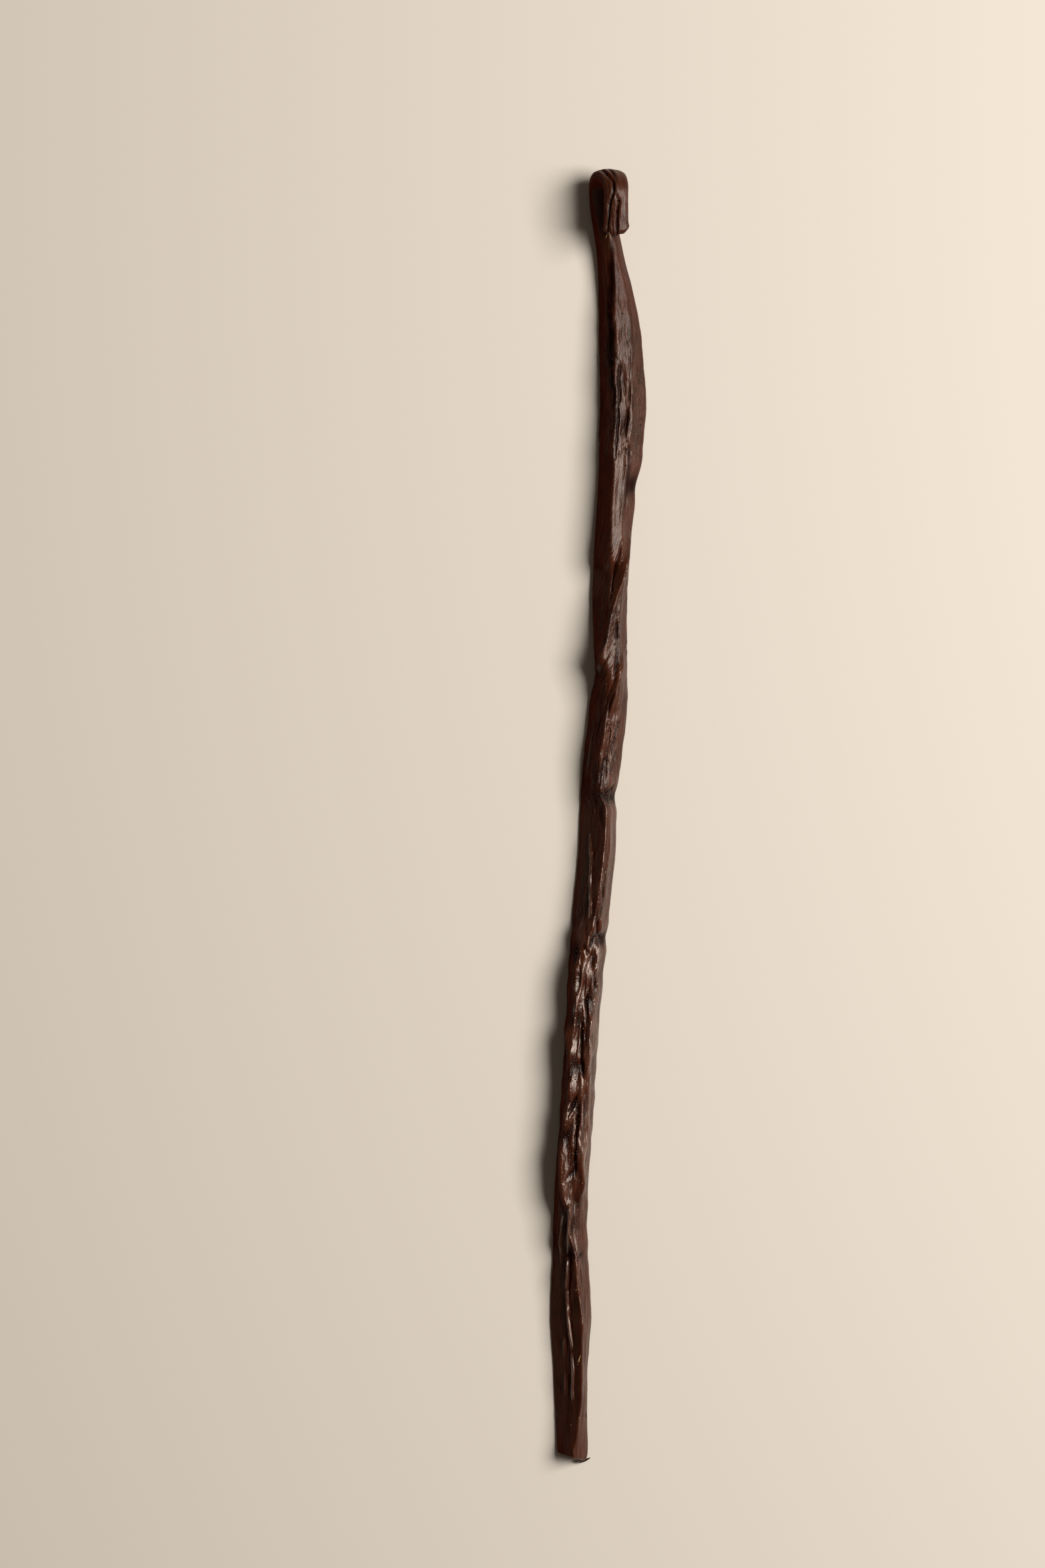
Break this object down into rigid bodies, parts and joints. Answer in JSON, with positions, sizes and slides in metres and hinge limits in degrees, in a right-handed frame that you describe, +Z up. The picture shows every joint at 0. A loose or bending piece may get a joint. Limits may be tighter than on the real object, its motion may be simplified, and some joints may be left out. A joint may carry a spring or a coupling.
{
  "type": "vanilla pod",
  "caption": "Cured vanilla pod: a long, thin, wrinkled, three-sided seed pod, wrung round once, with a hooked stalk end and a blunt slanting tip.",
  "frame": {"origin": "middle of the pod's footprint, on the surface that it lies on", "axes": "+Y runs up the pod towards the hooked stalk end, +X is across it, +Z is up from the surface that it lies on"},
  "size_m": [0.0124, 0.17, 0.0073],
  "materials": {
    "cured_skin": "oily, semi-gloss, deeply wrinkled skin"
  },
  "bodies": {
    "root": {"pod": "cured_skin"}
  },
  "joints": []
}
